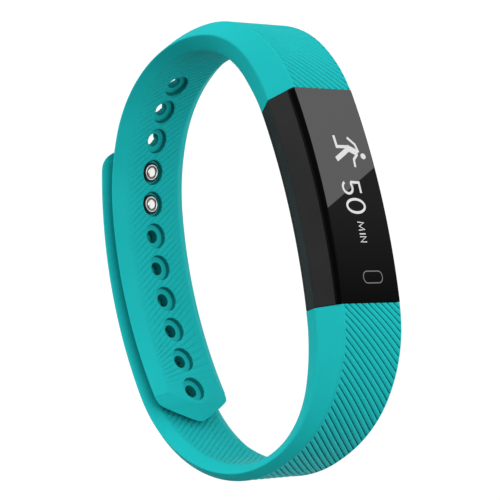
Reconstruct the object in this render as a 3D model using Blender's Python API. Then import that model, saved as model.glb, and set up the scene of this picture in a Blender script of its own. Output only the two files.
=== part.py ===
"""Fitness tracker band: a curved slim module between two soft straps, closed by a two-stud clasp.

Metres.  The band lies on one edge: +X is the way the display faces, +Y runs along the display
towards the strap with the holes, +Z is the wrist axis.
"""
import math

import bmesh
import bpy
from mathutils import Matrix, Vector

MM = 0.001
GAP = 0.3                      # clearance between touching pieces, mm
FIT = 0.15                     # clearance inside the sealed housing, mm

# ---- ring path: the widest line of the band, tangent arcs from the module's middle (radius, length) mm
MODULE_MID = (19.46, 8.34)
MODULE_HEADING = 107.38        # degrees, travel direction towards the hole strap
MODULE_RADIUS = 114.8
MODULE_HALF = 16.75
HOLE_ARCS = ((26.2, 7.7), (14.6, 11.3), (21.0, 28.3), (33.4, 12.8), (72.0, 37.0))
BUCKLE_ARCS = ((57.0, 2.7), (25.1, 10.3), (18.3, 13.1), (22.5, 36.2), (72.6, 42.2))
RING_CENTRE = (0.47, 0.68)     # moves the ring's bounding box over the origin

# ---- cross-section, mm from the widest line
WIDTH = 15.8
LAND = 0.25                    # half height of the flat on the widest line
OUTER_HALF = 6.35
INNER_HALF = 5.62
MODULE_OUT = 4.55
MODULE_IN = 4.15
HOLE_OUT = 0.9
HOLE_IN = 1.35
BUCKLE_OUT = 1.3
BUCKLE_IN = 1.28
BUCKLE_END_IN = 0.9
HOLE_OUT_TAPER = (-0.7, 30.5)  # start and end of each taper, mm past the module's end
HOLE_IN_TAPER = (4.6, 32.2)
BUCKLE_OUT_TAPER = (0.4, 27.5)
BUCKLE_IN_TAPER = (4.4, 36.4)
BUCKLE_THIN_TAPER = (48.45, 60.45)

# ---- holes and clasp
HOLE_COUNT = 11
HOLE_FIRST = 53.65             # arc length from the module's middle
HOLE_PITCH = 5.47
HOLE_R = 1.1
RECESS_R = 2.05
RECESS_DEPTH = 0.95
STUD_HOLES = (4, 5)
STUD_SLIDE = 0.5
STUD_HEAD_R = 1.6
STUD_POST_R = 0.95
STUD_HEAD_H = 0.75
PLATE_T = 0.5
PLATE_HALF_W = 3.1
PLATE_HALF_L = 4.4
TAIL_SPLIT = HOLE_FIRST + 1.5 * HOLE_PITCH
CLASP_SPLIT = 97.2
END_BACK = 3.9                 # length over which the buckle strap's end rounds off
END_SHARE = 0.22               # share of the width left at its very end
END_POWER = 2.6
TIP_BACK = 3.4
TIP_HALF = 0.16                # share of the width left at the tip
CUT_REACH = 4.0                # how far a hole's cutter reaches past the strap
PLATE_BEHIND = 0.65            # from the hole strap's outer face to the clasp plate
STUD_SUNK = 0.15               # stud heads sit this far below the inner face
STUD_FOOT = 0.12               # gap between a stud's foot and the plate
DOME_SHARE = 0.35              # share of the head's height below its dome

# ---- module build
GLASS_T = 1.0
GLASS_LOW_HALF = 6.85
GLASS_EDGE = (0.05, 0.5)       # the glass flank leans in this much, this far below its top
BACK_T = 1.0
CAVITY_HALF_W = 5.35
CAVITY_HALF_L = 14.6
PORT_L = 6.0
TONGUE_W = 12.0                # standard plug width; the housing's port leaves the side walls
PORT_WALLS = 2.2
TONGUE_T = 2.3
TONGUE_OUT = 12.0
TONGUE_N = -0.9
TONGUE_HELD = 2.0              # length held inside the housing
STUB_OUT = 7.0
SOCKET_PLAY = 0.4
SOCKET_SIDES = 1.6
SOCKET_RISE = 1.4
CONTACT = (7.6, 1.2, 0.3)
CONTACT_PITCH = 2.2
CONTACT_SHIFT = 1.8
CONTACT_GAP = 0.02
# name: middle (along, across, out) and size mm, look
DISPLAY_PIECES = {
    "oled_panel": ((2.6, 0.0, 2.0), (23.0, 7.6, 1.0), "panel_dark"),
    "panel_flex": ((-9.6, 0.0, 1.6), (0.8, 5.0, 1.0), "gold"),
    "touch_electrode": ((-12.4, 0.0, 2.2), (3.0, 5.6, 0.4), "gold"),
    "display_carrier": ((2.6, 0.0, 1.2), (22.0, 8.8, 0.3), "chip_black"),
}
BOARD_PIECES = {
    "main_board": ((0.0, 0.0, 0.65), (26.0, 9.6, 0.6), "board_green"),
    "radio_chip": ((6.5, 0.0, -0.08), (4.0, 4.0, 0.7), "chip_black"),
    "motion_sensor": ((11.0, 2.4, -0.08), (2.0, 2.0, 0.7), "chip_black"),
    "charge_chip": ((11.0, -2.2, -0.08), (2.4, 2.0, 0.7), "chip_black"),
    "clock_crystal": ((2.6, 3.2, -0.08), (3.2, 1.4, 0.7), "steel"),
}
BATTERY = (17.0, 9.4, 2.3)
BATTERY_AT = (4.4, 0.0, -1.72)
BATTERY_ROUND = 0.25
MOTOR_R = 3.5
MOTOR_H = 2.3
MOTOR_AT = (-9.4, 0.0, -2.95)
MOTOR_WALL = 0.4
ROTOR_R = 2.75
ROTOR_HUB_R = 0.7
ROTOR_FROM = 0.8
ROTOR_TO = 1.9

# ---- spacing of the stations along a sweep, mm
SHELL_STEP = 1.7
WELL_STEP = 2.0
GLASS_STEP = 1.0
STRAP_STEP = 1.6
TIP_STEP = 0.8
END_STEP = 0.5
SHARP_ANGLE = 30.0             # edges sharper than this stay crisp

# ---- materials: base colour, roughness, metallic
LOOKS = {
    "strap_teal": ((0.012, 0.50, 0.47), 0.55, 0.0),
    "housing_black": ((0.022, 0.022, 0.023), 0.5, 0.0),
    "glass_black": ((0.004, 0.004, 0.005), 0.08, 0.0),
    "steel": ((0.72, 0.72, 0.73), 0.18, 1.0),
    "gold": ((0.83, 0.61, 0.25), 0.25, 1.0),
    "board_green": ((0.02, 0.13, 0.06), 0.5, 0.0),
    "chip_black": ((0.03, 0.03, 0.03), 0.45, 0.0),
    "cell_silver": ((0.62, 0.63, 0.65), 0.4, 0.6),
    "panel_dark": ((0.01, 0.012, 0.016), 0.15, 0.0),
}


def clear_scene():
    for obj in list(bpy.data.objects):
        bpy.data.objects.remove(obj, do_unlink=True)


def material(name):
    mat = bpy.data.materials.get(name)
    if mat is None:
        colour, rough, metal = LOOKS[name]
        mat = bpy.data.materials.new(name)
        mat.use_nodes = True
        shader = mat.node_tree.nodes["Principled BSDF"]
        shader.inputs["Base Color"].default_value = (*colour, 1.0)
        shader.inputs["Roughness"].default_value = rough
        shader.inputs["Metallic"].default_value = metal
    return mat


def smoothstep(value):
    value = min(1.0, max(0.0, value))
    return value * value * (3.0 - 2.0 * value)


def blend(start, end, low, high, value):
    return start + (end - start) * smoothstep((value - low) / (high - low))


# ---- path ------------------------------------------------------------------------------------

def path_point(distance):
    """Point, heading on the widest line; positive distance runs up the hole strap (mm, radians)."""
    sign = 1.0 if distance >= 0.0 else -1.0
    left = abs(distance)
    heading = math.radians(MODULE_HEADING)
    x, y = MODULE_MID
    arcs = HOLE_ARCS if sign > 0.0 else BUCKLE_ARCS
    for radius, length in ((MODULE_RADIUS, MODULE_HALF),) + arcs:
        step = min(left, length)
        turn = sign * step / radius
        x += radius * (math.sin(heading + turn) - math.sin(heading))
        y -= radius * (math.cos(heading + turn) - math.cos(heading))
        heading += turn
        left -= step
        if left <= 0.0:
            break
    return x - RING_CENTRE[0], y - RING_CENTRE[1], heading


def place(distance, out, z):
    """World point at an arc length, a height out of the widest line and a z (mm in, metres out)."""
    x, y, heading = path_point(distance)
    return Vector((x + out * math.sin(heading), y - out * math.cos(heading), z + WIDTH / 2)) * MM


def frame_at(distance, out=0.0, z=0.0):
    """Matrix with local X along the path, Y along the wrist axis and Z out of the ring."""
    heading = path_point(distance)[2]
    along = Vector((math.cos(heading), math.sin(heading), 0.0))
    outward = Vector((math.sin(heading), -math.cos(heading), 0.0))
    across = outward.cross(along)
    rot = Matrix((along, across, outward)).transposed().to_4x4()
    return Matrix.Translation(place(distance, out, z)) @ rot


# ---- mesh helpers ----------------------------------------------------------------------------

def finish(name, bm, look, smooth=False):
    bmesh.ops.remove_doubles(bm, verts=bm.verts, dist=1e-7)
    bmesh.ops.recalc_face_normals(bm, faces=bm.faces)
    mesh = bpy.data.meshes.new(name)
    bm.to_mesh(mesh)
    bm.free()
    obj = bpy.data.objects.new(name, mesh)
    bpy.context.scene.collection.objects.link(obj)
    if look:
        obj.data.materials.append(material(look))
    if smooth:
        mesh.shade_smooth()
        mesh.set_sharp_from_angle(angle=math.radians(SHARP_ANGLE))
    return obj


def loft(name, rows, look, smooth=False):
    """Closed body through rows of world points, all rows the same length."""
    bm = bmesh.new()
    rings = [[bm.verts.new(point) for point in row] for row in rows]
    count = len(rings[0])
    for low, high in zip(rings, rings[1:]):
        for i in range(count):
            j = (i + 1) % count
            bm.faces.new((low[i], low[j], high[j], high[i]))
    bm.faces.new(rings[0])
    bm.faces.new(list(reversed(rings[-1])))
    return finish(name, bm, look, smooth)


def sweep(name, stations, section, look):
    """Loft of section(distance) -> [(z, out), ...] along the ring path."""
    rows = [[place(s, out, z) for z, out in section(s)] for s in stations]
    return loft(name, rows, look, smooth=True)


def steps(start, end, pitch):
    count = max(2, int(round(abs(end - start) / pitch)) + 1)
    return [start + (end - start) * i / (count - 1) for i in range(count)]


def box(name, matrix, size, look, chamfer=0.0):
    """Box centred on matrix, size in mm, optionally with its long edges beveled."""
    bm = bmesh.new()
    bmesh.ops.create_cube(bm, size=1.0)
    bmesh.ops.scale(bm, vec=Vector(size) * MM, verts=bm.verts)
    if chamfer:
        bmesh.ops.bevel(bm, geom=bm.edges[:], offset=chamfer * MM, segments=2, affect='EDGES', profile=0.5)
    bmesh.ops.transform(bm, matrix=matrix, verts=bm.verts)
    return finish(name, bm, look)


def turned(name, matrix, profile, look, sides=40):
    """Body turned about the matrix's Z: profile of (radius, height) mm from bottom to top."""
    bm = bmesh.new()
    rings = []
    for radius, height in profile:
        ring = []
        for i in range(sides):
            angle = 2.0 * math.pi * i / sides
            point = Vector((radius * math.cos(angle), radius * math.sin(angle), height))
            ring.append(bm.verts.new(point * MM))
        rings.append(ring)
    for low, high in zip(rings, rings[1:]):
        for i in range(sides):
            j = (i + 1) % sides
            bm.faces.new((low[i], low[j], high[j], high[i]))
    bm.faces.new(list(reversed(rings[0])))
    bm.faces.new(rings[-1])
    bmesh.ops.transform(bm, matrix=matrix, verts=bm.verts)
    return finish(name, bm, look, smooth=True)


def cutter(obj):
    obj.hide_render = True
    obj.display_type = 'WIRE'
    return obj


def cut(target, tool):
    mod = target.modifiers.new(tool.name, 'BOOLEAN')
    mod.operation = 'DIFFERENCE'
    mod.solver = 'EXACT'
    mod.object = cutter(tool)


def hinge_origin(obj, point):
    """Moves the object's origin to a world point without moving its mesh."""
    obj.data.transform(Matrix.Translation(-Vector(point)))
    obj.location = point


# ---- cross-sections --------------------------------------------------------------------------

def hexagon(inner, outer, half_in, half_out, half=WIDTH / 2, land=LAND):
    right = [(half_in, -inner), (half, -land), (half, land), (half_out, outer)]
    return right + [(-z, out) for z, out in reversed(right)]


def hole_section(s):
    outer = blend(MODULE_OUT, HOLE_OUT, *HOLE_OUT_TAPER, s - MODULE_HALF)
    inner = blend(MODULE_IN, HOLE_IN, *HOLE_IN_TAPER, s - MODULE_HALF)
    total = MODULE_HALF + sum(length for _, length in HOLE_ARCS)
    back = max(0.0, s - (total - TIP_BACK)) / TIP_BACK
    shrink = 1.0 - (1.0 - TIP_HALF) * back
    return hexagon(inner, outer, INNER_HALF * shrink, OUTER_HALF * shrink, WIDTH / 2 * shrink)


def buckle_section(s):
    run = -s - MODULE_HALF
    outer = blend(MODULE_OUT, BUCKLE_OUT, *BUCKLE_OUT_TAPER, run)
    inner = blend(MODULE_IN, BUCKLE_IN, *BUCKLE_IN_TAPER, run)
    inner += blend(0.0, BUCKLE_END_IN - BUCKLE_IN, *BUCKLE_THIN_TAPER, run)
    length = sum(arc[1] for arc in BUCKLE_ARCS)
    back = max(0.0, run - (length - END_BACK)) / END_BACK
    shrink = END_SHARE + (1.0 - END_SHARE) * math.sqrt(max(0.0, 1.0 - back ** END_POWER))
    return hexagon(inner, outer, INNER_HALF * shrink, OUTER_HALF * shrink, WIDTH / 2 * shrink)


# ---- module ----------------------------------------------------------------------------------

def housing():
    top = MODULE_OUT - GLASS_T - FIT
    low = -(MODULE_IN - BACK_T - FIT)
    low_half = INNER_HALF + (WIDTH / 2 - INNER_HALF) * (BACK_T + FIT) / MODULE_IN
    right = [(low_half, low), (WIDTH / 2, -LAND), (WIDTH / 2, LAND), (GLASS_LOW_HALF, top)]
    points = right + [(-z, out) for z, out in reversed(right)]
    stations = steps(-MODULE_HALF, MODULE_HALF, SHELL_STEP)
    shell = sweep("housing_shell", stations, lambda s: points, "housing_black")
    well = [(CAVITY_HALF_W, low - 1.0), (CAVITY_HALF_W, top + 1.0)]
    well = well + [(-z, out) for z, out in reversed(well)]
    cut(shell, sweep("housing_well", steps(-CAVITY_HALF_L, CAVITY_HALF_L, WELL_STEP), lambda s: well, None))
    for name, centre in (("upper_port", MODULE_HALF), ("lower_port", -MODULE_HALF)):
        matrix = frame_at(centre, TONGUE_N)
        cut(shell, box(name, matrix, (PORT_L, TONGUE_W - 2 * FIT - PORT_WALLS, TONGUE_T + 2 * FIT), None))
    return shell


def back_cover():
    low_half = INNER_HALF + (WIDTH / 2 - INNER_HALF) * (BACK_T / MODULE_IN)
    top = -(MODULE_IN - BACK_T)
    points = [(INNER_HALF, -MODULE_IN), (low_half, top), (-low_half, top), (-INNER_HALF, -MODULE_IN)]
    stations = steps(-MODULE_HALF, MODULE_HALF, SHELL_STEP)
    return sweep("back_cover", stations, lambda s: points, "housing_black")


def cover_glass():
    low = MODULE_OUT - GLASS_T
    lean, below = GLASS_EDGE
    right = [(GLASS_LOW_HALF, low), (GLASS_LOW_HALF - lean, MODULE_OUT - below), (OUTER_HALF, MODULE_OUT)]
    points = right + [(-z, out) for z, out in reversed(right)]
    return sweep("cover_glass", steps(-MODULE_HALF, MODULE_HALF, GLASS_STEP), lambda s: points, "glass_black")


def stack(name, middle, size, look, chamfer=0.0):
    """A flat inner piece, its middle at a straight-line offset (along, across, out) from the module's."""
    along, across, out = middle
    base = frame_at(0.0, 0.0, across)
    return box(name, base @ Matrix.Translation(Vector((along, 0.0, out)) * MM), size, look, chamfer)


def display_stack():
    for name, (middle, size, look) in DISPLAY_PIECES.items():
        stack(name, middle, size, look)


def board():
    for name, (middle, size, look) in BOARD_PIECES.items():
        stack(name, middle, size, look)


def battery():
    stack("battery_cell", BATTERY_AT, BATTERY, "cell_silver", BATTERY_ROUND)


def motor():
    base = frame_at(0.0) @ Matrix.Translation(Vector(MOTOR_AT) * MM)
    can = [(MOTOR_R, 0.0), (MOTOR_R, MOTOR_H)]
    case = turned("motor_case", base, can, "steel")
    bore_r = MOTOR_R - MOTOR_WALL
    bore = base @ Matrix.Translation(Vector((0.0, 0.0, MOTOR_WALL)) * MM)
    cut(case, turned("motor_bore", bore, [(bore_r, 0.0), (bore_r, MOTOR_H)], None))
    return base


def rotor(base):
    """Half-disc weight with its hub, turning about the can's axis."""
    bm = bmesh.new()
    rim = [(ROTOR_R, math.pi * i / 16) for i in range(17)]
    hub = [(ROTOR_HUB_R, math.pi + math.pi * i / 8) for i in range(1, 8)]
    outline = [(radius * math.cos(a), radius * math.sin(a)) for radius, a in rim + hub]
    low = [bm.verts.new(Vector((x, y, ROTOR_FROM)) * MM) for x, y in outline]
    high = [bm.verts.new(Vector((x, y, ROTOR_TO)) * MM) for x, y in outline]
    count = len(low)
    for i in range(count):
        j = (i + 1) % count
        bm.faces.new((low[i], low[j], high[j], high[i]))
    bm.faces.new(list(reversed(low)))
    bm.faces.new(high)
    bmesh.ops.transform(bm, matrix=base, verts=bm.verts)
    weight = finish("vibration_rotor", bm, "steel")
    hinge_origin(weight, base.translation)


def tongue(name, sign, reach):
    """Flat tongue that stands out of one end of the housing; returns its frame."""
    length = reach + TONGUE_HELD
    shift = Vector((sign * (length / 2 - TONGUE_HELD), 0.0, 0.0)) * MM
    frame = frame_at(sign * MODULE_HALF, TONGUE_N) @ Matrix.Translation(shift)
    width = TONGUE_W - PORT_WALLS - 4 * FIT
    box(name, frame, (length, width, TONGUE_T), "housing_black", 0.2)
    return frame


def tongues():
    """Charging tongue at the hole-strap end, plain locating tongue at the other end."""
    frame = tongue("usb_tongue", 1.0, TONGUE_OUT)
    lift = TONGUE_T / 2 + CONTACT[2] / 2 + CONTACT_GAP
    for i in range(4):
        across = (i - 1.5) * CONTACT_PITCH
        spot = frame @ Matrix.Translation(Vector((CONTACT_SHIFT, across, lift)) * MM)
        box("usb_contact_%d" % (i + 1), spot, CONTACT, "gold")
    tongue("lower_tongue", -1.0, STUB_OUT)


# ---- straps ----------------------------------------------------------------------------------

def socket(strap, name, sign, depth):
    """Blind slot in a strap's root that takes the module's tongue."""
    frame = frame_at(sign * MODULE_HALF, TONGUE_N + 0.1)
    shift = Matrix.Translation(Vector((sign * (depth / 2 + 0.5), 0.0, 0.1)) * MM)
    size = (depth + 2.0, TONGUE_W - SOCKET_SIDES, TONGUE_T + SOCKET_RISE)
    cut(strap, box(name, frame @ shift, size, None))


def hole_at(index):
    return HOLE_FIRST + HOLE_PITCH * (index - 1)


def drill(strap, index):
    """Stepped hole; the two that hold the studs are cut straight and let the heads slide out."""
    s = hole_at(index)
    if index in STUD_HOLES:
        for name, back in (("a", 0.0), ("b", STUD_SLIDE)):
            tool = [(RECESS_R, -CUT_REACH), (RECESS_R, CUT_REACH)]
            matrix = frame_at(s) @ Matrix.Translation(Vector((-back, 0.0, 0.0)) * MM)
            cut(strap, turned("stud_hole_%d%s" % (index, name), matrix, tool, None))
        return
    floor = -HOLE_IN + RECESS_DEPTH
    profile = [(RECESS_R, -CUT_REACH), (RECESS_R, floor), (HOLE_R, floor), (HOLE_R, CUT_REACH)]
    cut(strap, turned("strap_hole_%d" % index, frame_at(s), profile, None, 32))


def hole_strap():
    total = MODULE_HALF + sum(length for _, length in HOLE_ARCS)
    start = MODULE_HALF + GAP
    stations = steps(start, TAIL_SPLIT - GAP / 2, STRAP_STEP)
    root = sweep("hole_strap_root", stations, hole_section, "strap_teal")
    socket(root, "usb_socket", 1.0, TONGUE_OUT + SOCKET_PLAY)
    for index in range(1, 3):
        drill(root, index)
    back = total - TIP_BACK
    stations = steps(TAIL_SPLIT + GAP / 2, back, STRAP_STEP)[:-1] + steps(back, total, TIP_STEP)
    tail = sweep("hole_strap_tail", stations, hole_section, "strap_teal")
    for index in range(3, HOLE_COUNT + 1):
        drill(tail, index)
    hinge_origin(tail, place(TAIL_SPLIT, -HOLE_IN, 0.0))


def buckle_strap():
    total = MODULE_HALF + sum(length for _, length in BUCKLE_ARCS)
    start = MODULE_HALF + GAP
    stations = steps(-start, -(CLASP_SPLIT - GAP / 2), STRAP_STEP)
    root = sweep("buckle_strap_root", stations, buckle_section, "strap_teal")
    socket(root, "lower_socket", -1.0, STUB_OUT + SOCKET_PLAY)
    back = total - END_BACK
    stations = steps(CLASP_SPLIT + GAP / 2, back, STRAP_STEP)[:-1] + steps(back, total, END_STEP)
    end = sweep("buckle_strap_end", [-s for s in stations], buckle_section, "strap_teal")
    pivot = place(-CLASP_SPLIT, BUCKLE_OUT, 0.0)
    hinge_origin(end, pivot)
    return end, pivot


def clasp(end, pivot):
    """Steel plate sunk in the strap's inner face with two studs whose heads sit in the recesses."""
    middle = (hole_at(STUD_HOLES[0]) + hole_at(STUD_HOLES[1])) / 2
    mid = frame_at(middle, HOLE_OUT + PLATE_BEHIND + PLATE_T / 2)
    plate = box("clasp_plate", mid, (2 * PLATE_HALF_L, 2 * PLATE_HALF_W, PLATE_T), "steel", 0.12)
    hinge_origin(plate, pivot)
    size = (2 * PLATE_HALF_L + 2 * GAP, 2 * PLATE_HALF_W + 2 * GAP, PLATE_T + GAP + 2.0)
    well = box("plate_well", mid @ Matrix.Translation(Vector((0.0, 0.0, -1.0 + GAP / 2)) * MM), size, None)
    cut(end, well)
    for number, index in enumerate(STUD_HOLES):
        stud(number + 1, hole_at(index), pivot)


def stud(number, s, pivot):
    """Post with a domed head; the head faces the wrist."""
    head = frame_at(s, -HOLE_IN + STUD_SUNK + STUD_HEAD_H) @ Matrix.Rotation(math.pi, 4, 'X')
    foot = -(HOLE_OUT + HOLE_IN + GAP - STUD_HEAD_H - STUD_SUNK - STUD_FOOT)
    angles = [math.pi / 2 * i / 8 for i in range(8)]
    rise = 1.0 - DOME_SHARE
    dome = [(STUD_HEAD_R * math.cos(a), STUD_HEAD_H * (DOME_SHARE + rise * math.sin(a))) for a in angles]
    profile = [(STUD_POST_R, foot), (STUD_POST_R, 0.0), (STUD_HEAD_R, 0.0)] + dome
    made = turned("clasp_stud_%d" % number, head, profile, "steel", 36)
    hinge_origin(made, pivot)


def main():
    clear_scene()
    housing()
    back_cover()
    cover_glass()
    display_stack()
    board()
    battery()
    rotor(motor())
    tongues()
    hole_strap()
    end, pivot = buckle_strap()
    clasp(end, pivot)


main()
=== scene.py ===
"""Looks for the fitness tracker band: ribbed soft straps, studs, housing, glass and display.

The band's path and cross-sections repeat the driving dimensions of the CAD model, in mm.
"""

import math

import bmesh
import bpy
from mathutils import Matrix, Vector


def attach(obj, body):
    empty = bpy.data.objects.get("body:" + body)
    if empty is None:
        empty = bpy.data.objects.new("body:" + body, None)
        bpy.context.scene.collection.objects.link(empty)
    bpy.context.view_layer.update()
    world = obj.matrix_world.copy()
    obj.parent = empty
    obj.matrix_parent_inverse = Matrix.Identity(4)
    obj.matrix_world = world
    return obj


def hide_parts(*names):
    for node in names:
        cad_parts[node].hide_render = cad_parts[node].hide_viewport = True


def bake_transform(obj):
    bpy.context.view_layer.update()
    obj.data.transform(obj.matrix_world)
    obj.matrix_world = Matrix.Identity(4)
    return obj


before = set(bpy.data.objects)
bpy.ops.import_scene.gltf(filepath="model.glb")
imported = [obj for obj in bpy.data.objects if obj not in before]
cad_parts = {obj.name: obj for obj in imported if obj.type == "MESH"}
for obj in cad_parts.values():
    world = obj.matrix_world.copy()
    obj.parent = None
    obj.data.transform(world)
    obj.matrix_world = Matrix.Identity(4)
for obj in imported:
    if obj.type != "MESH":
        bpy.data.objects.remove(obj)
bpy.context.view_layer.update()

MM = 0.001

# ---- ring path and sections, as in the CAD model
MODULE_MID = (19.46, 8.34)
MODULE_HEADING = 107.38
MODULE_RADIUS = 114.8
MODULE_HALF = 16.75
HOLE_ARCS = ((26.2, 7.7), (14.6, 11.3), (21.0, 28.3), (33.4, 12.8), (72.0, 37.0))
BUCKLE_ARCS = ((57.0, 2.7), (25.1, 10.3), (18.3, 13.1), (22.5, 36.2), (72.6, 42.2))
RING_CENTRE = (0.47, 0.68)
WIDTH = 15.8
HALF = WIDTH / 2
OUTER_HALF = 6.35
INNER_HALF = 5.62
MODULE_OUT = 4.55
MODULE_IN = 4.15
HOLE_OUT = 0.9
HOLE_IN = 1.35
BUCKLE_OUT = 1.3
BUCKLE_IN = 1.28
BUCKLE_END_IN = 0.9
HOLE_COUNT = 11
HOLE_FIRST = 53.65
HOLE_PITCH = 5.47
HOLE_R = 1.08
RECESS_R = 2.05
RECESS_DEPTH = 0.9
RECESS_LIP = 0.22
STUD_HOLES = (4, 5)
HOLE_SPIN = 0.37               # radians more for each hole, so no facet lines up with a rib
TAIL_SPLIT = HOLE_FIRST + 1.5 * HOLE_PITCH
TAIL_BEND = (-7.0, 4.0)        # a stretch about the split, in mm; its end points are worked out and not used
CLASP_SPLIT = 97.2
CLASP_BEND = (-5.0, 3.0)
HOLE_OUT_TAPER = (-0.7, 30.5)  # each taper starts and ends this far past the module
HOLE_IN_TAPER = (4.6, 32.2)
BUCKLE_OUT_TAPER = (0.4, 27.5)
BUCKLE_IN_TAPER = (4.4, 36.4)
BUCKLE_END_TAPER = (48.45, 60.45)
HOLE_TOTAL = MODULE_HALF + sum(length for _, length in HOLE_ARCS)
BUCKLE_TOTAL = MODULE_HALF + sum(length for _, length in BUCKLE_ARCS)
END_BACK = 3.9

# ---- looks
RIB_PITCH = 1.07
RIB_SLANT = 0.76               # mm along the band for each mm across it
RIB_DEPTH = 0.26
INNER_RIB_DEPTH = 0.17
RIB_STEPS = ((0.0, 1.0), (0.08, 0.66), (0.2, 0.17), (0.5, 0.0), (0.8, 0.17), (0.92, 0.66))
RIB_RUNOUT = 0.22
GROOVE_FLOOR = 0.6             # deeper than this share of the groove counts as its floor, which gets painted shade
# material slots of darker teal: painted shade in the groove floors and the recess walls
GROOVE_SHADE_SLOT = 1
RECESS_SHADE_SLOT = 2
SLANT_FADE = 12.0              # over this run the rows turn square to the strap, before its end
INNER_FILLET = 0.22
RIM_FILLET = 0.32
OUTER_FILLET = 0.25
STRAP_CREASE = 50.0
TIP_SLOPE = 1.95               # the pointed end widens by this much for each mm back
TIP_NOSE = 0.645
TIP_SOFT = 0.9
END_FLAT = 0.22
END_POWER = 2.6
END_THIN = 0.03                # share of the thickness left at the very end
END_ROWS = (0.5, 0.3, 0.15, 0.05, 0.0)
SEAM = 0.05                    # gap between the module and a strap
GLASS_T = 1.0
GLASS_LOW_HALF = 6.85
GLASS_EDGE = 0.3
GLASS_END_ROUND = 0.06
GLASS_ROWS = 60
HOUSING_ROWS = 40
END_ROUND = 0.1
PIECE_GAP = 0.06
BACK_T = 1.0
PRINT_LIFT = 0.015
PRINT_SUNK = -0.02
DIGIT_STROKE = 0.4
# painted reflection on the glass: where its slanting edge lies, as Y plus slope times Z in mm, and
# how soft the edge is
REFLECTION_EDGE_SLOPE = 0.513
REFLECTION_EDGE_AT = 13.76
REFLECTION_EDGE_BLUR = 0.12

# ---- colours, linear
TEAL_DARK = (0.0095, 0.385, 0.39)
TEAL_LIGHT = (0.012, 0.415, 0.42)
# darker teal copies for groove floors and recess walls: painted shade
GROOVE_SHADE_SHARE = 0.32
RECESS_SHADE_SHARE = 0.42
PLASTIC_DARK = (0.0155, 0.0155, 0.0157)
PLASTIC_LIGHT = (0.0205, 0.0205, 0.021)
GLASS_DEEP = (0.0005, 0.0005, 0.0006)
# the next two colours are painted reflection on the glass: a faint fading grey and the pale sheet
GLASS_FADING_REFLECTION = (0.009, 0.009, 0.0092)
GLASS_PAINTED_REFLECTION = (0.082, 0.081, 0.081)
GLASS_RIM = (0.0012, 0.0012, 0.0012)
STEEL_DARK = (0.84, 0.82, 0.81)
STEEL_LIGHT = (0.93, 0.92, 0.91)
DISPLAY_LIT = (0.86, 0.85, 0.85)
# grey glow of the touch key print: painted light
KEY_PRINT_GLOW = (0.17, 0.165, 0.165)

CAMERA_AT = (299.77, 1.33, 296.82)
CAMERA_RIGHT = (0.69466, -0.003, -0.71933)
CAMERA_UP = (0.0, 0.99999, -0.00417)
LENS = 187.2
LAMP_TARGET = (0.0, 0.0, 0.008)
KEY_LAMP_AT = (0.5, 0.1, 0.2)
TOP_LAMP_AT = (-0.2, 0.16, 0.45)
DOME_DARK = 0.0
DOME_BRIGHT = 1.0
DOME_RANGE = (-0.8, 0.9)       # the dome brightens between these heights of its Y axis


# ---- path ------------------------------------------------------------------------------------

def path_point(distance):
    """x, y, heading on the widest line; positive distance runs up the hole strap."""
    sign = 1.0 if distance >= 0.0 else -1.0
    left = abs(distance)
    heading = math.radians(MODULE_HEADING)
    x, y = MODULE_MID
    arcs = HOLE_ARCS if sign > 0.0 else BUCKLE_ARCS
    for radius, length in ((MODULE_RADIUS, MODULE_HALF),) + arcs:
        step = min(left, length)
        turn = sign * step / radius
        x += radius * (math.sin(heading + turn) - math.sin(heading))
        y -= radius * (math.cos(heading + turn) - math.cos(heading))
        heading += turn
        left -= step
        if left <= 0.0:
            break
    return x - RING_CENTRE[0], y - RING_CENTRE[1], heading


def place(distance, out, z):
    x, y, heading = path_point(distance)
    return Vector((x + out * math.sin(heading), y - out * math.cos(heading), z + HALF)) * MM


def frame_at(distance, out=0.0, z=0.0):
    """Matrix with local X along the path, Y across it and Z out of the ring."""
    heading = path_point(distance)[2]
    along = Vector((math.cos(heading), math.sin(heading), 0.0))
    outward = Vector((math.sin(heading), -math.cos(heading), 0.0))
    across = outward.cross(along)
    rot = Matrix((along, across, outward)).transposed().to_4x4()
    return Matrix.Translation(place(distance, out, z)) @ rot


def smoothstep(value):
    value = min(1.0, max(0.0, value))
    return value * value * (3.0 - 2.0 * value)


def ramp(start, end, low, high, value):
    return start + (end - start) * smoothstep((value - low) / (high - low))


def hole_at(index):
    return HOLE_FIRST + HOLE_PITCH * (index - 1)


# ---- strap thickness and outline -------------------------------------------------------------

def hole_heights(s):
    past = s - MODULE_HALF
    outer = ramp(MODULE_OUT, HOLE_OUT, *HOLE_OUT_TAPER, past)
    inner = ramp(MODULE_IN, HOLE_IN, *HOLE_IN_TAPER, past)
    return outer, inner


def buckle_heights(s):
    past = -s - MODULE_HALF
    outer = ramp(MODULE_OUT, BUCKLE_OUT, *BUCKLE_OUT_TAPER, past)
    inner = ramp(MODULE_IN, BUCKLE_IN, *BUCKLE_IN_TAPER, past)
    inner += ramp(0.0, BUCKLE_END_IN - BUCKLE_IN, *BUCKLE_END_TAPER, past)
    return outer, inner


def soft_min(a, b, soft):
    """The smaller of two widths, with the corner between them rounded."""
    return 0.5 * (a + b - math.sqrt((a - b) ** 2 + soft * soft))


def tip_width(limit, back):
    """Half width of the blunt pointed end, this far behind its apex."""
    if back <= 0.0:
        return 0.0
    point = TIP_SLOPE * math.sqrt((back + TIP_NOSE) ** 2 - TIP_NOSE ** 2)
    return max(0.0, soft_min(limit, point, TIP_SOFT))


def round_width(limit, back):
    """Half width of the rounded end, this far behind it."""
    if back <= 0.0:
        return 0.0
    share = max(0.0, 1.0 - back / END_BACK)
    return limit * (END_FLAT + (1.0 - END_FLAT) * math.sqrt(1.0 - share ** END_POWER))


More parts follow.
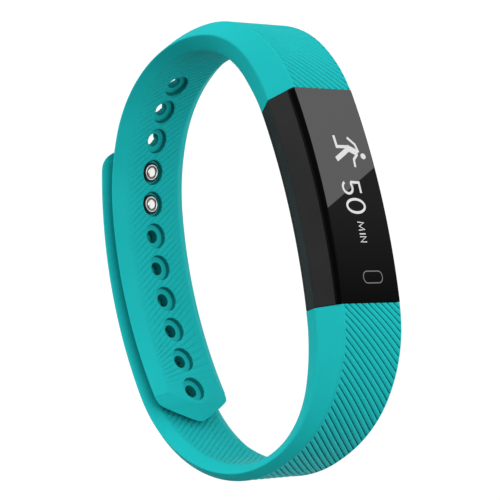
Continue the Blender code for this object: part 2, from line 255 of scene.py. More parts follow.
class End:
    """How a strap's outline closes: its inner and outer faces stop short of the rim."""

    def __init__(self, total, width, inner_stop, outer_stop, zone):
        self.total = total
        self.width = width
        self.inner_stop = inner_stop
        self.outer_stop = outer_stop
        self.zone = zone

    def corners(self, run, outer, inner):
        back = self.total - run
        half = self.width(HALF, max(back, 0.01))
        if back > self.zone:
            return HALF, OUTER_HALF, INNER_HALF, outer, inner
        inner_z = self.width(INNER_HALF, back - self.inner_stop)
        outer_z = self.width(OUTER_HALF, back - self.outer_stop)
        inner *= max(END_THIN, min(1.0, back / self.inner_stop))
        outer *= max(END_THIN, min(1.0, back / self.outer_stop))
        tiny = 0.02 * half
        return half, max(tiny, outer_z), max(tiny, inner_z), outer, inner


POINTED_END = End(HOLE_TOTAL, tip_width, 2.56, 1.74, 5.0)
ROUNDED_END = End(BUCKLE_TOTAL, round_width, 1.9, 1.3, 6.2)


# ---- mesh helpers ----------------------------------------------------------------------------

def add_object(name, bm, mat, smooth=True, crease=32.0):
    bmesh.ops.recalc_face_normals(bm, faces=bm.faces)
    mesh = bpy.data.meshes.new(name)
    bm.to_mesh(mesh)
    bm.free()
    obj = bpy.data.objects.new(name, mesh)
    bpy.context.scene.collection.objects.link(obj)
    if mat:
        mesh.materials.append(mat)
    if smooth:
        mesh.shade_smooth()
        mesh.set_sharp_from_angle(angle=math.radians(crease))
    return obj


def flatten_shading(obj):
    """Large faces keep their own normals, so fillets read as fillets."""
    mod = obj.modifiers.new("shading", 'WEIGHTED_NORMAL')
    mod.weight = 80
    mod.keep_sharp = True
    take_evaluated(obj)
    return obj


def take_evaluated(obj):
    """Replaces the mesh with its evaluated one and drops the modifiers."""
    graph = bpy.context.evaluated_depsgraph_get()
    made = bpy.data.meshes.new_from_object(obj.evaluated_get(graph))
    old = obj.data
    obj.modifiers.clear()
    obj.data = made
    bpy.data.meshes.remove(old)


def skin(bm, rows, slots=None):
    """Closed skin over rows of points; slots, if given, is the material slot of each band."""
    rings = [[bm.verts.new(point) for point in row] for row in rows]
    count = len(rings[0])
    for k, (low, high) in enumerate(zip(rings, rings[1:])):
        for i in range(count):
            j = (i + 1) % count
            face = bm.faces.new((low[i], low[j], high[j], high[i]))
            if slots:
                face.material_index = slots[k][i]
    bm.faces.new(rings[0])
    bm.faces.new(list(reversed(rings[-1])))


def lathe(bm, matrix, profile, sides=48, wall_shade_slot=0):
    """Turned body about the matrix's Z from (radius, height) mm, bottom to top."""
    rows = []
    for radius, height in profile:
        row = []
        for i in range(sides):
            angle = 2.0 * math.pi * i / sides
            point = Vector((radius * math.cos(angle), radius * math.sin(angle), height)) * MM
            row.append(matrix @ point)
        rows.append(row)
    # steep walls of the cutter give the cut recess walls their slot: the darker teal, painted shade
    steep = [abs(b[1] - a[1]) > abs(b[0] - a[0]) for a, b in zip(profile, profile[1:])]
    skin(bm, rows, [[wall_shade_slot if wall else 0] * sides for wall in steep])


def subtract(obj, bm_cutter):
    """Cuts a bmesh out of the object for good."""
    tool = add_object("cutter", bm_cutter, None, smooth=False)
    for slot in obj.data.materials:
        tool.data.materials.append(slot)
    mod = obj.modifiers.new("cut", 'BOOLEAN')
    mod.operation = 'DIFFERENCE'
    mod.solver = 'EXACT'
    mod.object = tool
    take_evaluated(obj)
    bpy.data.objects.remove(tool, do_unlink=True)
    obj.data.shade_smooth()
    obj.data.set_sharp_from_angle(angle=math.radians(STRAP_CREASE))


def arc_corner(before, corner, after, radius, count=3):
    """Points that round a polygon corner."""
    corner = Vector(corner)
    to_a = Vector(before) - corner
    to_b = Vector(after) - corner
    reach = min(radius, 0.45 * to_a.length, 0.45 * to_b.length)
    start = corner + to_a.normalized() * reach
    end = corner + to_b.normalized() * reach
    points = []
    for i in range(count + 1):
        t = i / count
        low = start.lerp(corner, t)
        high = corner.lerp(end, t)
        points.append(tuple(low.lerp(high, t)))
    return points


# ---- straps ----------------------------------------------------------------------------------

FACE_Z = (0.945, 0.8, 0.64, 0.46, 0.3, 0.15, 0.0)


def section(corners):
    """Right half of a strap section as (z, out, face), from inner middle to outer middle."""
    half, outer_z, inner_z, outer, inner = corners
    polygon = [(0.0, -inner), (inner_z, -inner), (half, 0.0), (outer_z, outer), (0.0, outer)]
    points = [(share * inner_z, -inner, "inner") for share in reversed(FACE_Z[1:])]
    fillets = (INNER_FILLET * inner_z / INNER_HALF, RIM_FILLET, OUTER_FILLET * outer_z / OUTER_HALF)
    for i, radius in zip((1, 2, 3), fillets):
        for z, out in arc_corner(polygon[i - 1], polygon[i], polygon[i + 1], radius):
            points.append((z, out, "side"))
    points += [(share * outer_z, outer, "outer") for share in FACE_Z]
    return points


def rib_rows(first, total):
    """(run, groove depth) of every row along a strap, ending in a few close rows."""
    rows = []
    count = int((total - first) / RIB_PITCH) + 1
    for k in range(count + 1):
        for phase, depth in RIB_STEPS:
            run = first + (k + phase) * RIB_PITCH
            if run < total - END_ROWS[0] - 0.08:
                rows.append((run, depth))
    return rows + [(total - back, 0.0) for back in END_ROWS]


def strap(name, sign, start, end, heights, mats):
    """Ribbed strap: oblique sections follow the ribs, so every rib is a clean run of faces."""
    bm = bmesh.new()
    rows, slots = [], []
    first = start - RIB_SLANT * HALF - 1.0
    turn_start = end.total - end.zone - SLANT_FADE
    for run, depth in rib_rows(first, end.total):
        upright = min(1.0, max(0.0, (run - turn_start) / SLANT_FADE))
        slant = RIB_SLANT * (1.0 - upright)
        groove = depth * (1.0 - smoothstep(2.5 * upright - 1.5))
        middle = sign * run
        outer_mid, inner_mid = heights(middle)
        right = section(end.corners(run, outer_mid, inner_mid))
        left = [(-z, out, face) for z, out, face in reversed(right[1:-1])]
        row = []
        for z, out, face in right + left:
            s = middle + slant * z
            outer_here, inner_here = heights(s)
            out *= outer_here / outer_mid if out > 0.0 else inner_here / inner_mid
            if face == "outer":
                out -= groove * RIB_DEPTH * min(1.0, (OUTER_HALF - abs(z)) / RIB_RUNOUT)
            if face == "inner":
                out += groove * INNER_RIB_DEPTH * min(1.0, (INNER_HALF - abs(z)) / RIB_RUNOUT)
            row.append(place(s, out, z))
        rows.append(row)
        faces = [point[2] for point in right + left]
        # faces at the groove floor on the outer face take the darker teal: painted shade
        deep = groove > GROOVE_FLOOR
        slots.append([GROOVE_SHADE_SLOT if deep and face == "outer" else 0 for face in faces])
    skin(bm, rows, [[min(pair) for pair in zip(low, high)] for low, high in zip(slots, slots[1:])])
    bmesh.ops.recalc_face_normals(bm, faces=bm.faces)
    cut = frame_at(sign * start)
    along = (cut.to_3x3() @ Vector((sign, 0.0, 0.0))).normalized()
    cut_plane(bm, cut.translation, along)
    obj = add_object(name, bm, mats[0], crease=STRAP_CREASE)
    for mat in mats[1:]:
        obj.data.materials.append(mat)
    return obj


def cut_plane(bm, point, keep_side):
    """Removes what lies behind the plane near the point and closes the cut."""
    near = [f for f in bm.faces if (f.calc_center_median() - point).length < 30 * MM]
    edges = list({e for f in near for e in f.edges})
    verts = list({v for f in near for v in f.verts})
    made = bmesh.ops.bisect_plane(
        bm, geom=near + edges + verts, plane_co=point, plane_no=keep_side, clear_inner=True)
    edges = [g for g in made['geom_cut'] if isinstance(g, bmesh.types.BMEdge) and g.is_boundary]
    bmesh.ops.contextual_create(bm, geom=edges)


def recess_profile():
    """Stepped hole with rounded lips, in the strap's out direction."""
    floor = -HOLE_IN + RECESS_DEPTH
    wide = RECESS_R + RECESS_LIP
    points = [(wide, -HOLE_IN - 0.5), (wide, -HOLE_IN - 0.01)]
    for i in range(1, 5):
        a = math.pi / 2 * i / 4
        rise = RECESS_LIP * (1.0 - math.cos(a))
        points.append((wide - RECESS_LIP * math.sin(a), -HOLE_IN + rise))
    points += [(RECESS_R, floor - 0.12), (RECESS_R - 0.04, floor - 0.04), (RECESS_R - 0.12, floor)]
    points += [(HOLE_R + 0.12, floor), (HOLE_R + 0.03, floor + 0.04), (HOLE_R, floor + 0.14)]
    points.append((HOLE_R, HOLE_OUT + 1.0))
    return points


def hole_strap(mats):
    """Strap with the pointed end and eleven stepped holes."""
    obj = strap("strap_with_holes", 1.0, MODULE_HALF + SEAM, POINTED_END, hole_heights, mats)
    bm = bmesh.new()
    for index in range(1, HOLE_COUNT + 1):
        spin = Matrix.Rotation(HOLE_SPIN * index, 4, 'Z')
        # the recess walls these cut take the darker teal: painted shade
        lathe(bm, frame_at(hole_at(index)) @ spin, recess_profile(), wall_shade_slot=RECESS_SHADE_SLOT)
    subtract(obj, bm)
    flatten_shading(obj)
    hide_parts("hole_strap_root", "hole_strap_tail")
    start, end = (place(TAIL_SPLIT + step, 0.0, 0.0) for step in TAIL_BEND)
    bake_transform(obj)


def plate_outline(half_l, half_w, corner, count=8):
    points = []
    for cx, cy, turn in ((1, 1, 0), (-1, 1, 90), (-1, -1, 180), (1, -1, 270)):
        for i in range(count + 1):
            a = math.radians(turn + 90.0 * i / count)
            x = cx * (half_l - corner) + corner * math.cos(a)
            y = cy * (half_w - corner) + corner * math.sin(a)
            points.append((x, y))
    return points


def plate_solid(bm, matrix, half_l, half_w, corner, heights):
    """Rounded plate; heights are (inset, height) mm from bottom to top."""
    rows = []
    for inset, height in heights:
        outline = plate_outline(half_l - inset, half_w - inset, corner - inset)
        rows.append([matrix @ (Vector((x, y, height)) * MM) for x, y in outline])
    skin(bm, rows)


PLATE_MID = (hole_at(STUD_HOLES[0]) + hole_at(STUD_HOLES[1])) / 2
PLATE_OUT = HOLE_OUT + 0.3 + 0.35
PLATE_SIZE = (4.4, 3.1)        # half length and half width
PLATE_CORNER = 1.3
PLATE_ROOM = 0.25
PLATE_EDGE = ((0.1, 0.5), (0.0, 0.42), (0.0, 0.08), (0.1, 0.0))
STUD_SEAT = -HOLE_IN + 0.15 + 0.75
STUD_SIDES = 56
STUD_BRIGHT_R = 1.31           # the flange is dark outside this radius: a dark ring and painted shade of the gap about the stud
# the turned groove between these radii takes darker steel: painted shade
STUD_GROOVE = (0.81, 1.1)
DOME_R = 0.78
DOME_RISE = 0.16
DOME_FOOT = 0.52


def buckle_strap(mats):
    """Strap with the rounded end and a pocket for the clasp plate."""
    obj = strap("strap_with_clasp", -1.0, MODULE_HALF + SEAM, ROUNDED_END, buckle_heights, mats)
    bm = bmesh.new()
    mid = frame_at(PLATE_MID, PLATE_OUT)
    pocket = [size + PLATE_ROOM for size in PLATE_SIZE]
    plate_solid(bm, mid, *pocket, PLATE_CORNER + 0.6 * PLATE_ROOM, ((0.0, -2.0), (0.0, 0.6)))
    subtract(obj, bm)
    flatten_shading(obj)
    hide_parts("buckle_strap_root", "buckle_strap_end")
    start, end = (place(-(CLASP_SPLIT + step), 0.0, 0.0) for step in CLASP_BEND)
    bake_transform(obj)


# ---- clasp -----------------------------------------------------------------------------------

def clasp(steel, dark_ring_and_shade_steel, groove_painted_shade_steel):
    bm = bmesh.new()
    mid = frame_at(PLATE_MID, PLATE_OUT)
    plate_solid(bm, mid, *PLATE_SIZE, PLATE_CORNER, PLATE_EDGE)
    plate = add_object("clasp_plate_metal", bm, steel)
    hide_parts("clasp_plate")
    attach(plate, "clasp_end")
    for number, index in enumerate(STUD_HOLES):
        bm = bmesh.new()
        seat = frame_at(hole_at(index), STUD_SEAT) @ Matrix.Rotation(math.pi, 4, 'X')
        lathe(bm, seat, stud_profile(), STUD_SIDES)
        stud = add_object("clasp_stud_metal_%d" % (number + 1), bm, steel)
        stud.data.materials.append(dark_ring_and_shade_steel)
        stud.data.materials.append(groove_painted_shade_steel)
        # flange and underside take the dark steel, a dark ring that also paints the shade of the
        # gap about the stud; the turned groove takes darker steel, painted shade
        for face in stud.data.polygons:
            away = seat.inverted() @ face.center
            reach = math.hypot(away.x, away.y) / MM
            if reach > STUD_BRIGHT_R or away.z < 0.0:
                face.material_index = 1
            elif STUD_GROOVE[0] < reach < STUD_GROOVE[1]:
                face.material_index = 2
        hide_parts("clasp_stud_%d" % (number + 1))
        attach(stud, "clasp_end")


def stud_profile():
    """Post, dark flange, bright ring, turned groove and a shallow dome."""
    points = [(1.35, -1.5), (1.35, -1.2), (0.95, -1.1), (0.92, -0.1), (1.0, 0.0), (1.5, 0.0)]
    points += [(1.58, 0.05), (1.62, 0.14), (1.62, 0.36), (1.58, 0.46), (1.5, 0.5), (1.38, 0.5)]
    points += [(1.33, 0.47), (1.3, 0.52), (1.25, 0.57), (1.17, 0.57), (1.11, 0.52), (1.02, 0.36)]
    points += [(0.92, 0.33), (0.84, 0.36), (0.8, 0.5)]
    for i in range(7):
        a = math.pi / 2 * i / 7
        points.append((DOME_R * math.cos(a), DOME_FOOT + DOME_RISE * math.sin(a)))
    points.append((0.02, DOME_FOOT + DOME_RISE))
    return points


# ---- module ----------------------------------------------------------------------------------

def sweep_stations(count, end_round):
    """(distance, inset) of the rows along the module, with a quarter round at each end."""
    ends = []
    for i in range(4):
        a = math.pi / 2 * i / 3
        ends.append((end_round * (1.0 - math.sin(a)), end_round * (1.0 - math.cos(a))))
    first = -MODULE_HALF + end_round
    step = (2 * MODULE_HALF - 2 * end_round) / count
    stations = [(-MODULE_HALF + back, inset) for inset, back in ends]
    stations += [(first + step * i, 0.0) for i in range(1, count)]
    return stations + [(MODULE_HALF - back, inset) for inset, back in reversed(ends)]


def sweep_piece(name, corners, radii, mat, count, end_round):
    """Piece with a constant rounded section, swept along the module, its ends softly rounded."""
    rounded = []
    for i, radius in enumerate(radii):
        after = corners[(i + 1) % len(corners)]
        rounded += arc_corner(corners[i - 1], corners[i], after, radius, 4)
    mid_out = sum(p[1] for p in rounded) / len(rounded)
    rows = []
    for s, inset in sweep_stations(count, end_round):
        row = []
        for z, out in rounded:
            away = Vector((z, out - mid_out))
            size = max(away.length, 1e-6)
            pull = away * (1.0 - min(0.9, inset / size))
            row.append(place(s, mid_out + pull[1], pull[0]))
        rows.append(row)
    bm = bmesh.new()
    skin(bm, rows)
    return flatten_shading(add_object(name, bm, mat, crease=50.0))


def slant_half(out):
    """Half width of the housing's inner flank at a height out of the widest line."""
    return INNER_HALF + (HALF - INNER_HALF) * (out + MODULE_IN) / MODULE_IN


def housing(mat):
    """Black body of the module and the cover on its wrist side."""
    low = -(MODULE_IN - BACK_T - PIECE_GAP)
    top = MODULE_OUT - GLASS_T - PIECE_GAP
    half_low = slant_half(low)
    corners = [(half_low, low), (HALF, 0.0), (GLASS_LOW_HALF + 0.03, top)]
    corners += [(-z, out) for z, out in reversed(corners)]
    radii = (0.1, 0.2, 0.1, 0.1, 0.2, 0.1)
    shell = sweep_piece("housing_body", corners, radii, mat, HOUSING_ROWS, END_ROUND)
    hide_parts("housing_shell")
    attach(shell, "module")
    cover_top = -(MODULE_IN - BACK_T)
    half_top = slant_half(cover_top)
    corners = [(INNER_HALF, -MODULE_IN), (half_top, cover_top)]
    corners += [(-z, out) for z, out in reversed(corners)]
    radii = (0.3, 0.1, 0.1, 0.3)
    cover = sweep_piece("wrist_side_cover", corners, radii, mat, HOUSING_ROWS, END_ROUND)
    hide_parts("back_cover")
    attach(cover, "module")


def glass(mat):
    """Curved cover with a short upright edge and chamfered long sides."""
    low = MODULE_OUT - GLASS_T
    corners = [(GLASS_LOW_HALF, low), (GLASS_LOW_HALF, low + GLASS_EDGE), (OUTER_HALF, MODULE_OUT)]
    corners += [(-z, out) for z, out in reversed(corners)]
    radii = (0.05, 0.1, 0.12, 0.12, 0.1, 0.05)
    cover = sweep_piece("cover_glass_curved", corners, radii, mat, GLASS_ROWS, GLASS_END_ROUND)
    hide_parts("cover_glass")
    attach(cover, "module")


# ---- display marks ---------------------------------------------------------------------------

def on_glass(a, b, lift=PRINT_LIFT):
    """Point on the glass: a runs down the display (reading direction), b runs to its far edge."""
    return place(-a, MODULE_OUT + lift, -b)


def ribbon(bm, points, width, closed=False):
    """Flat stroke of constant width through (a, b) points, laid on the glass."""
    count = len(points)
    left, right = [], []
    for i, point in enumerate(points):
        here = Vector(point)
        before = Vector(points[i - 1]) if (i or closed) else None
        after = Vector(points[(i + 1) % count]) if (i < count - 1 or closed) else None
        ways = []
        if before is not None:
            ways.append((here - before).normalized())
        if after is not None:
            ways.append((after - here).normalized())
        way = sum(ways, Vector((0.0, 0.0))).normalized()
        normal = Vector((-way[1], way[0]))
        miter = 1.0 / max(0.5, normal.dot(Vector((-ways[-1][1], ways[-1][0]))))
        wide = width / 2 * miter
        left.append(here + normal * wide)
        right.append(here - normal * wide)
    pairs = list(zip(left, right))
    if closed:
        pairs.append(pairs[0])
    for (l0, r0), (l1, r1) in zip(pairs, pairs[1:]):
        solid_quad(bm, (l0, r0, r1, l1))


def solid_quad(bm, corners):
    """Thin closed tile over four or more (a, b) corners."""
    low = [bm.verts.new(on_glass(a, b, PRINT_SUNK)) for a, b in corners]
    high = [bm.verts.new(on_glass(a, b)) for a, b in corners]
    count = len(low)
    for i in range(count):
        j = (i + 1) % count
        bm.faces.new((low[i], low[j], high[j], high[i]))
    bm.faces.new(list(reversed(low)))
    bm.faces.new(high)


def ellipse(centre, ra, rb, start=0.0, end=360.0, count=40):
    points = []
    for i in range(count + 1):
        t = math.radians(start + (end - start) * i / count)
        points.append((centre[0] + ra * math.cos(t), centre[1] + rb * math.sin(t)))
    return points


# Places on the glass in mm: a runs down the display from its middle, b towards its far edge.
DIGIT_TOP = 1.84
FIVE_LEFT = -1.58
FIVE_RIGHT = 0.12
FIVE_WAIST = 0.02
BOWL_AT = (-0.72, -0.86)
BOWL_SIZE = (0.92, 1.03)
BOWL_SPAN = (122.0, -152.0)
NOUGHT_AT = (2.13, 0.07)
NOUGHT_SIZE = (1.03, 1.92)
WORD_BASE = -0.38
WORD_TOP = 0.94
M_AT, M_WIDE, M_LEAN, M_DIP = 4.62, 1.24, 0.1, 0.25
I_AT = 6.42
N_AT, N_WIDE = 6.86, 0.78
WORD_STROKE = 0.16
HIP, CHEST = (-7.05, 1.25), (-6.2, 3.3)
HEAD_AT, HEAD_SIZE = (-5.73, 4.36), (0.47, 0.55)
TRUNK_STROKE = 1.05
LIMBS = (
    (0.5, (-9.0, -1.02), (-7.2, -0.95), (-7.2, 1.3)),      # trailing leg
    (0.78, (-6.85, 1.4), (-6.1, 0.05), (-5.15, -1.75)),    # leading leg
    (0.42, (-6.35, 3.55), (-7.6, 3.2), (-8.7, 1.85)),      # trailing arm
    (0.42, (-6.0, 3.1), (-5.2, 2.1), (-3.97, 1.96)),       # leading arm
)
KEY_AT = (12.93, 1.0)
KEY_SIZE = (0.88, 2.1)
KEY_CORNER = 0.85
KEY_STROKE = 0.15


def digits(mat):
    """A five and a nought; text reads down the display with its tops at the far edge."""
    bm = bmesh.new()
    bowl = ellipse(BOWL_AT, *BOWL_SIZE, *BOWL_SPAN, 34)
    flag = [(FIVE_RIGHT, DIGIT_TOP), (FIVE_LEFT + 0.08, DIGIT_TOP), (FIVE_LEFT, FIVE_WAIST)]
    ribbon(bm, flag, DIGIT_STROKE)
    ribbon(bm, [(FIVE_LEFT, FIVE_WAIST + 0.08)] + bowl, DIGIT_STROKE)
    nought = ellipse(NOUGHT_AT, *NOUGHT_SIZE, 0.0, 360.0, 48)[:-1]
    ribbon(bm, nought, DIGIT_STROKE, closed=True)
    return finish_mark("display_digits", bm, mat)


def word(mat):
    """MIN, the unit under the number."""
    bm = bmesh.new()
    base, top = WORD_BASE, WORD_TOP
    left, right = M_AT, M_AT + M_WIDE
    dip = ((left + right) / 2, base + M_DIP)
    letter = [(left, base), (left + M_LEAN, top), dip, (right - M_LEAN, top), (right, base)]
    ribbon(bm, letter, WORD_STROKE)
    ribbon(bm, [(I_AT, base), (I_AT, top)], WORD_STROKE + 0.02)
    left, right = N_AT, N_AT + N_WIDE
    ribbon(bm, [(left, base), (left, top), (right, base), (right, top)], WORD_STROKE)
    return finish_mark("display_word", bm, mat)


def figure(mat):
    """Plain running figure: limbs are strokes, the head an oval."""
    bm = bmesh.new()
    ribbon(bm, [HIP, ((HIP[0] + CHEST[0]) / 2, (HIP[1] + CHEST[1]) / 2), CHEST], TRUNK_STROKE)
    for stroke, *points in LIMBS:
        ribbon(bm, points, stroke)
    solid_quad(bm, ellipse(HEAD_AT, *HEAD_SIZE, 0.0, 360.0, 28)[:-1])
    return finish_mark("display_figure", bm, mat)


def touch_key(mat):
    """Thin rounded outline that marks the touch key."""
    bm = bmesh.new()
    outline = [(KEY_AT[0] + x, KEY_AT[1] + y) for x, y in plate_outline(*KEY_SIZE, KEY_CORNER, 7)]
    ribbon(bm, outline, KEY_STROKE, closed=True)
    return finish_mark("touch_key_outline", bm, mat)


def finish_mark(name, bm, mat):
    mark = add_object(name, bm, mat, smooth=False)
    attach(mark, "module")
    return mark


# ---- materials -------------------------------------------------------------------------------

class Nodes:
    """Small helper that adds and links shader nodes."""

    def __init__(self, name):
        self.mat = bpy.data.materials.new(name)
        self.mat.use_nodes = True
        self.tree = self.mat.node_tree
        self.shader = self.tree.nodes["Principled BSDF"]

    def add(self, kind):
        return self.tree.nodes.new(kind)

    def link(self, source, target):
        self.tree.links.new(source, target)

    def coords(self):
        return self.add("ShaderNodeTexCoord").outputs["Object"]

    def noise(self, scale, detail=3.0, rough=0.5):
        node = self.add("ShaderNodeTexNoise")
        node.inputs["Scale"].default_value = scale
        node.inputs["Detail"].default_value = detail
        node.inputs["Roughness"].default_value = rough
        self.link(self.coords(), node.inputs["Vector"])
        return node.outputs["Fac"]

    def remap(self, value, low, high, to_low=0.0, to_high=1.0):
        node = self.add("ShaderNodeMapRange")
        node.inputs["From Min"].default_value = low
        node.inputs["From Max"].default_value = high
        node.inputs["To Min"].default_value = to_low
        node.inputs["To Max"].default_value = to_high
        self.link(value, node.inputs["Value"])
        return node.outputs["Result"]

    def spread(self, value, low, high):
        """Stretches a noise over the range from low to high."""
        return self.remap(value, 0.25, 0.75, low, high)

    def tint(self, value, dark, light):
        """Mixes two colours; each is a plain colour or another node's output."""
        node = self.add("ShaderNodeMix")
        node.data_type = 'RGBA'
        for name, colour in (("A", dark), ("B", light)):
            if isinstance(colour, bpy.types.NodeSocket):
                self.link(colour, node.inputs[name])
            else:
                node.inputs[name].default_value = (*colour, 1.0)
        self.link(value, node.inputs["Factor"])
        return node.outputs["Result"]

    def maths(self, operation, first, second, third=None):
        """Math node on outputs and plain numbers."""
        node = self.add("ShaderNodeMath")
        node.operation = operation
        for i, value in enumerate((first, second, third)):
            if isinstance(value, bpy.types.NodeSocket):
                self.link(value, node.inputs[i])
            elif value is not None:
                node.inputs[i].default_value = value
        return node.outputs[0]

    def bump(self, value, strength, distance):
        node = self.add("ShaderNodeBump")
        node.inputs["Strength"].default_value = strength
        node.inputs["Distance"].default_value = distance
        self.link(value, node.inputs["Height"])
        self.link(node.outputs["Normal"], self.shader.inputs["Normal"])

    def set(self, name, value):
        self.shader.inputs[name].default_value = value


def soft_strap(name, share):
    """Moulded TPU: satin, a fine moulded grain and faint cloudy colour; share darkens the teal, for
    the painted shade in groove floors and recess walls.
    """
    n = Nodes(name)
    cloud = n.noise(90.0, 4.0)
    dark = [share * value for value in TEAL_DARK]
    light = [share * value for value in TEAL_LIGHT]
    colour = n.tint(n.spread(cloud, 0.0, 1.0), dark, light)
    n.link(colour, n.shader.inputs["Base Color"])
    n.link(n.spread(n.noise(260.0, 3.0), 0.46, 0.6), n.shader.inputs["Roughness"])
    n.bump(n.noise(9000.0, 3.0, 0.6), 0.14, 0.00004)
    n.set("Specular IOR Level", 0.015)
    return n.mat


def matte_plastic():
    """Fine spark-eroded black plastic with slightly worn sheen."""
    n = Nodes("housing_plastic")
    colour = n.tint(n.spread(n.noise(120.0, 4.0), 0.0, 1.0), PLASTIC_DARK, PLASTIC_LIGHT)
    n.link(colour, n.shader.inputs["Base Color"])
    n.link(n.spread(n.noise(400.0, 3.0), 0.4, 0.52), n.shader.inputs["Roughness"])
    n.bump(n.noise(12000.0, 2.0, 0.6), 0.12, 0.00003)
    n.set("Specular IOR Level", 0.04)
    return n.mat


def gloss_glass():
    """Black-backed cover with painted reflection: a pale sheet over its upper part that ends in a
    slanting edge, above a faint painted reflection that fades along the display.
    """
    n = Nodes("cover_glass_painted_reflection")
    split = n.add("ShaderNodeSeparateXYZ")
    n.link(n.coords(), split.inputs["Vector"])
    along, across = split.outputs["Y"], split.outputs["Z"]
    # painted reflection: a faint grey that fades along the display to the deep black at one end
    low = n.tint(n.remap(along, -9.0 * MM, 8.0 * MM), GLASS_DEEP, GLASS_FADING_REFLECTION)
    # painted reflection: the pale sheet over the part of the glass past a slanting edge
    slant = n.maths('MULTIPLY_ADD', across, REFLECTION_EDGE_SLOPE, along)
    sheen = n.remap(slant, REFLECTION_EDGE_AT * MM, (REFLECTION_EDGE_AT + REFLECTION_EDGE_BLUR) * MM)
    face = n.tint(sheen, low, GLASS_PAINTED_REFLECTION)
    # the bevels along both long sides keep a plain near-black rim colour, without the painted
    # reflection
    off_middle = n.maths('ABSOLUTE', n.maths('SUBTRACT', across, HALF * MM), None)
    rim = n.remap(off_middle, (OUTER_HALF - 0.15) * MM, (OUTER_HALF - 0.1) * MM)
    n.link(n.tint(rim, face, GLASS_RIM), n.shader.inputs["Base Color"])
    n.link(n.spread(n.noise(300.0, 2.0), 0.05, 0.09), n.shader.inputs["Roughness"])
    n.set("Specular IOR Level", 0.02)
    return n.mat


def lit_mark(name, colour, strength):
    """Display pixels: a lit colour with a very fine screen grid."""
    n = Nodes(name)
    grid = n.add("ShaderNodeTexVoronoi")
    grid.inputs["Scale"].default_value = 9000.0
    n.link(n.coords(), grid.inputs["Vector"])
    brighter = [min(1.0, 1.08 * value) for value in colour]
    glow = n.tint(n.spread(grid.outputs["Distance"], 0.0, 1.0), colour, brighter)
    n.link(glow, n.shader.inputs["Emission Color"])
    n.set("Emission Strength", strength)
    n.set("Base Color", (*[c * 0.08 for c in colour], 1.0))
    n.link(n.spread(n.noise(500.0), 0.3, 0.4), n.shader.inputs["Roughness"])
    return n.mat


def polished_steel():
    """Turned stainless steel: fine noise in colour, roughness and bump."""
    n = Nodes("polished_steel")
    colour = n.tint(n.noise(700.0, 3.0), STEEL_DARK, STEEL_LIGHT)
    n.link(colour, n.shader.inputs["Base Color"])
    n.link(n.spread(n.noise(900.0, 2.0), 0.3, 0.36), n.shader.inputs["Roughness"])
    n.bump(n.noise(4000.0, 2.0), 0.02, 0.00001)
    n.set("Metallic", 1.0)
    return n.mat


def plain(name, dark, light, rough, metal=0.0, grain=3000.0, strength=0.1):
    """Hidden pieces: base colour with variation, grain and a matching roughness."""
    n = Nodes(name)
    n.link(n.tint(n.noise(400.0, 4.0), dark, light), n.shader.inputs["Base Color"])
    n.link(n.spread(n.noise(900.0, 3.0), rough - 0.06, rough + 0.06), n.shader.inputs["Roughness"])
    n.bump(n.noise(grain, 3.0), strength, 0.00003)
    n.set("Metallic", metal)
    return n.mat


def circuit_board():
    """Green solder mask with fine tracks."""
    n = Nodes("circuit_board")
    brick = n.add("ShaderNodeTexBrick")
    brick.inputs["Scale"].default_value = 900.0
    brick.inputs["Mortar Size"].default_value = 0.05
    brick.inputs["Color1"].default_value = (0.012, 0.10, 0.045, 1.0)
    brick.inputs["Color2"].default_value = (0.016, 0.13, 0.055, 1.0)
    brick.inputs["Mortar"].default_value = (0.03, 0.21, 0.09, 1.0)
    n.link(n.coords(), brick.inputs["Vector"])
    n.link(brick.outputs["Color"], n.shader.inputs["Base Color"])
    n.link(n.spread(n.noise(800.0), 0.35, 0.5), n.shader.inputs["Roughness"])
    n.bump(brick.outputs["Fac"], 0.2, 0.00004)
    return n.mat


def dress_inner_nodes():
    """Materials for the CAD nodes that stay as they are, inside the housing."""
    chip = plain("chip_epoxy", (0.02, 0.02, 0.021), (0.035, 0.035, 0.036), 0.45)
    gold = plain("gold_plate", (0.72, 0.5, 0.18), (0.85, 0.63, 0.28), 0.24, 1.0)
    foil = plain("cell_foil", (0.5, 0.51, 0.53), (0.66, 0.67, 0.69), 0.38, 0.8, 1500.0, 0.3)
    panel = plain("panel_black", (0.006, 0.007, 0.009), (0.01, 0.011, 0.014), 0.12)
    steel = plain("can_steel", (0.5, 0.5, 0.5), (0.65, 0.65, 0.65), 0.3, 1.0)
    plastic = plain("tongue_plastic", (0.02, 0.02, 0.021), (0.03, 0.03, 0.031), 0.42)
    looks = {
        "radio_chip": chip, "motion_sensor": chip, "charge_chip": chip, "display_carrier": chip,
        "clock_crystal": steel, "motor_case": steel, "vibration_rotor": steel,
        "panel_flex": gold, "touch_electrode": gold, "oled_panel": panel,
        "battery_cell": foil, "main_board": circuit_board(),
        "usb_tongue": plastic, "lower_tongue": plastic,
    }
    for i in range(1, 5):
        looks["usb_contact_%d" % i] = gold
    for name, mat in looks.items():
        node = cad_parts[name]
        node.data.materials.clear()
        node.data.materials.append(mat)


# ---- stage -----------------------------------------------------------------------------------

def floor():
    """Plain pale floor that runs well past the picture."""
    bm = bmesh.new()
    bmesh.ops.create_grid(bm, x_segments=8, y_segments=8, size=3.0)
    n = Nodes("pale_floor")
    grey = n.tint(n.noise(3.0, 2.0), (0.05, 0.05, 0.05), (0.06, 0.06, 0.06))
    n.link(grey, n.shader.inputs["Base Color"])
    n.set("Roughness", 0.9)
    n.set("Specular IOR Level", 0.1)
    n.set("Emission Color", (1.0, 1.0, 1.0, 1.0))
    n.set("Emission Strength", 1.0)
    plane = add_object("floor", bm, n.mat, smooth=False)
    plane.location.z = -0.2 * MM


def soft_lamp(name, where, size, power):
    """Square area lamp aimed at the middle of the band; metres and watts."""
    lamp = bpy.data.lights.new(name, 'AREA')
    lamp.energy = power
    lamp.size = size
    obj = bpy.data.objects.new(name, lamp)
    bpy.context.scene.collection.objects.link(obj)
    obj.location = where
    way = Vector(LAMP_TARGET) - Vector(where)
    obj.rotation_euler = way.to_track_quat('-Z', 'Y').to_euler()


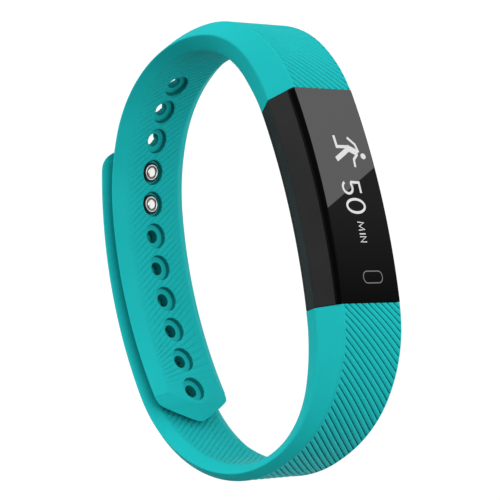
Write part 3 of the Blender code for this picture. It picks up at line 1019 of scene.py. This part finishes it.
def lights():
    """A bright studio dome that darkens towards the bottom of the picture, and two soft boxes."""
    world = bpy.data.worlds.new("studio")
    bpy.context.scene.world = world
    world.use_nodes = True
    tree = world.node_tree
    back = tree.nodes["Background"]
    back.inputs["Color"].default_value = (1.0, 1.0, 1.0, 1.0)
    coords = tree.nodes.new("ShaderNodeTexCoord")
    split = tree.nodes.new("ShaderNodeSeparateXYZ")
    fall = tree.nodes.new("ShaderNodeMapRange")
    fall.interpolation_type = 'SMOOTHSTEP'
    fall.inputs["From Min"].default_value = DOME_RANGE[0]
    fall.inputs["From Max"].default_value = DOME_RANGE[1]
    fall.inputs["To Min"].default_value = DOME_DARK
    fall.inputs["To Max"].default_value = DOME_BRIGHT
    tree.links.new(coords.outputs["Generated"], split.inputs["Vector"])
    tree.links.new(split.outputs["Y"], fall.inputs["Value"])
    tree.links.new(fall.outputs["Result"], back.inputs["Strength"])
    soft_lamp("key", KEY_LAMP_AT, 0.3, 1.45)
    soft_lamp("top", TOP_LAMP_AT, 0.5, 1.9)


def camera():
    data = bpy.data.cameras.new("camera")
    data.lens = LENS
    data.sensor_width = 36.0
    data.clip_start = 0.01
    data.clip_end = 20.0
    obj = bpy.data.objects.new("camera", data)
    bpy.context.scene.collection.objects.link(obj)
    right = Vector(CAMERA_RIGHT).normalized()
    up = Vector(CAMERA_UP)
    up = (up - right * up.dot(right)).normalized()
    rot = Matrix((right, up, right.cross(up))).transposed().to_4x4()
    obj.matrix_world = Matrix.Translation(Vector(CAMERA_AT) * MM) @ rot
    bpy.context.scene.camera = obj


def main():
    # strap teal, and its darker copies that paint shade into groove floors and recess walls
    shares = (("strap_tpu", 1.0), ("strap_groove_painted_shade", GROOVE_SHADE_SHARE), ("strap_recess_painted_shade", RECESS_SHADE_SHARE))
    teal = [soft_strap(name, share) for name, share in shares]
    black = matte_plastic()
    steel = polished_steel()
    hole_strap(teal)
    buckle_strap(teal)
    # dark steel for the flange, partly painted shade of the gap about the stud; darker steel in the
    # groove, painted shade
    dark_ring_and_shade_steel = plain("dark_ring_and_painted_shade", (0.004, 0.004, 0.0045), (0.008, 0.008, 0.009), 0.3, 0.6)
    groove_painted_shade_steel = plain("groove_painted_shade_steel", (0.2, 0.175, 0.17), (0.26, 0.235, 0.23), 0.35, 0.8)
    clasp(steel, dark_ring_and_shade_steel, groove_painted_shade_steel)
    housing(black)
    glass(gloss_glass())
    lit = lit_mark("display_lit", DISPLAY_LIT, 0.7)
    digits(lit)
    word(lit)
    figure(lit)
    # the touch key outline is a print, no lamp; its grey is painted light, a glow
    touch_key(lit_mark("key_print_painted_glow", KEY_PRINT_GLOW, 0.8))
    dress_inner_nodes()
    floor()
    lights()
    camera()
    bpy.context.scene.view_settings.view_transform = 'Standard'


main()
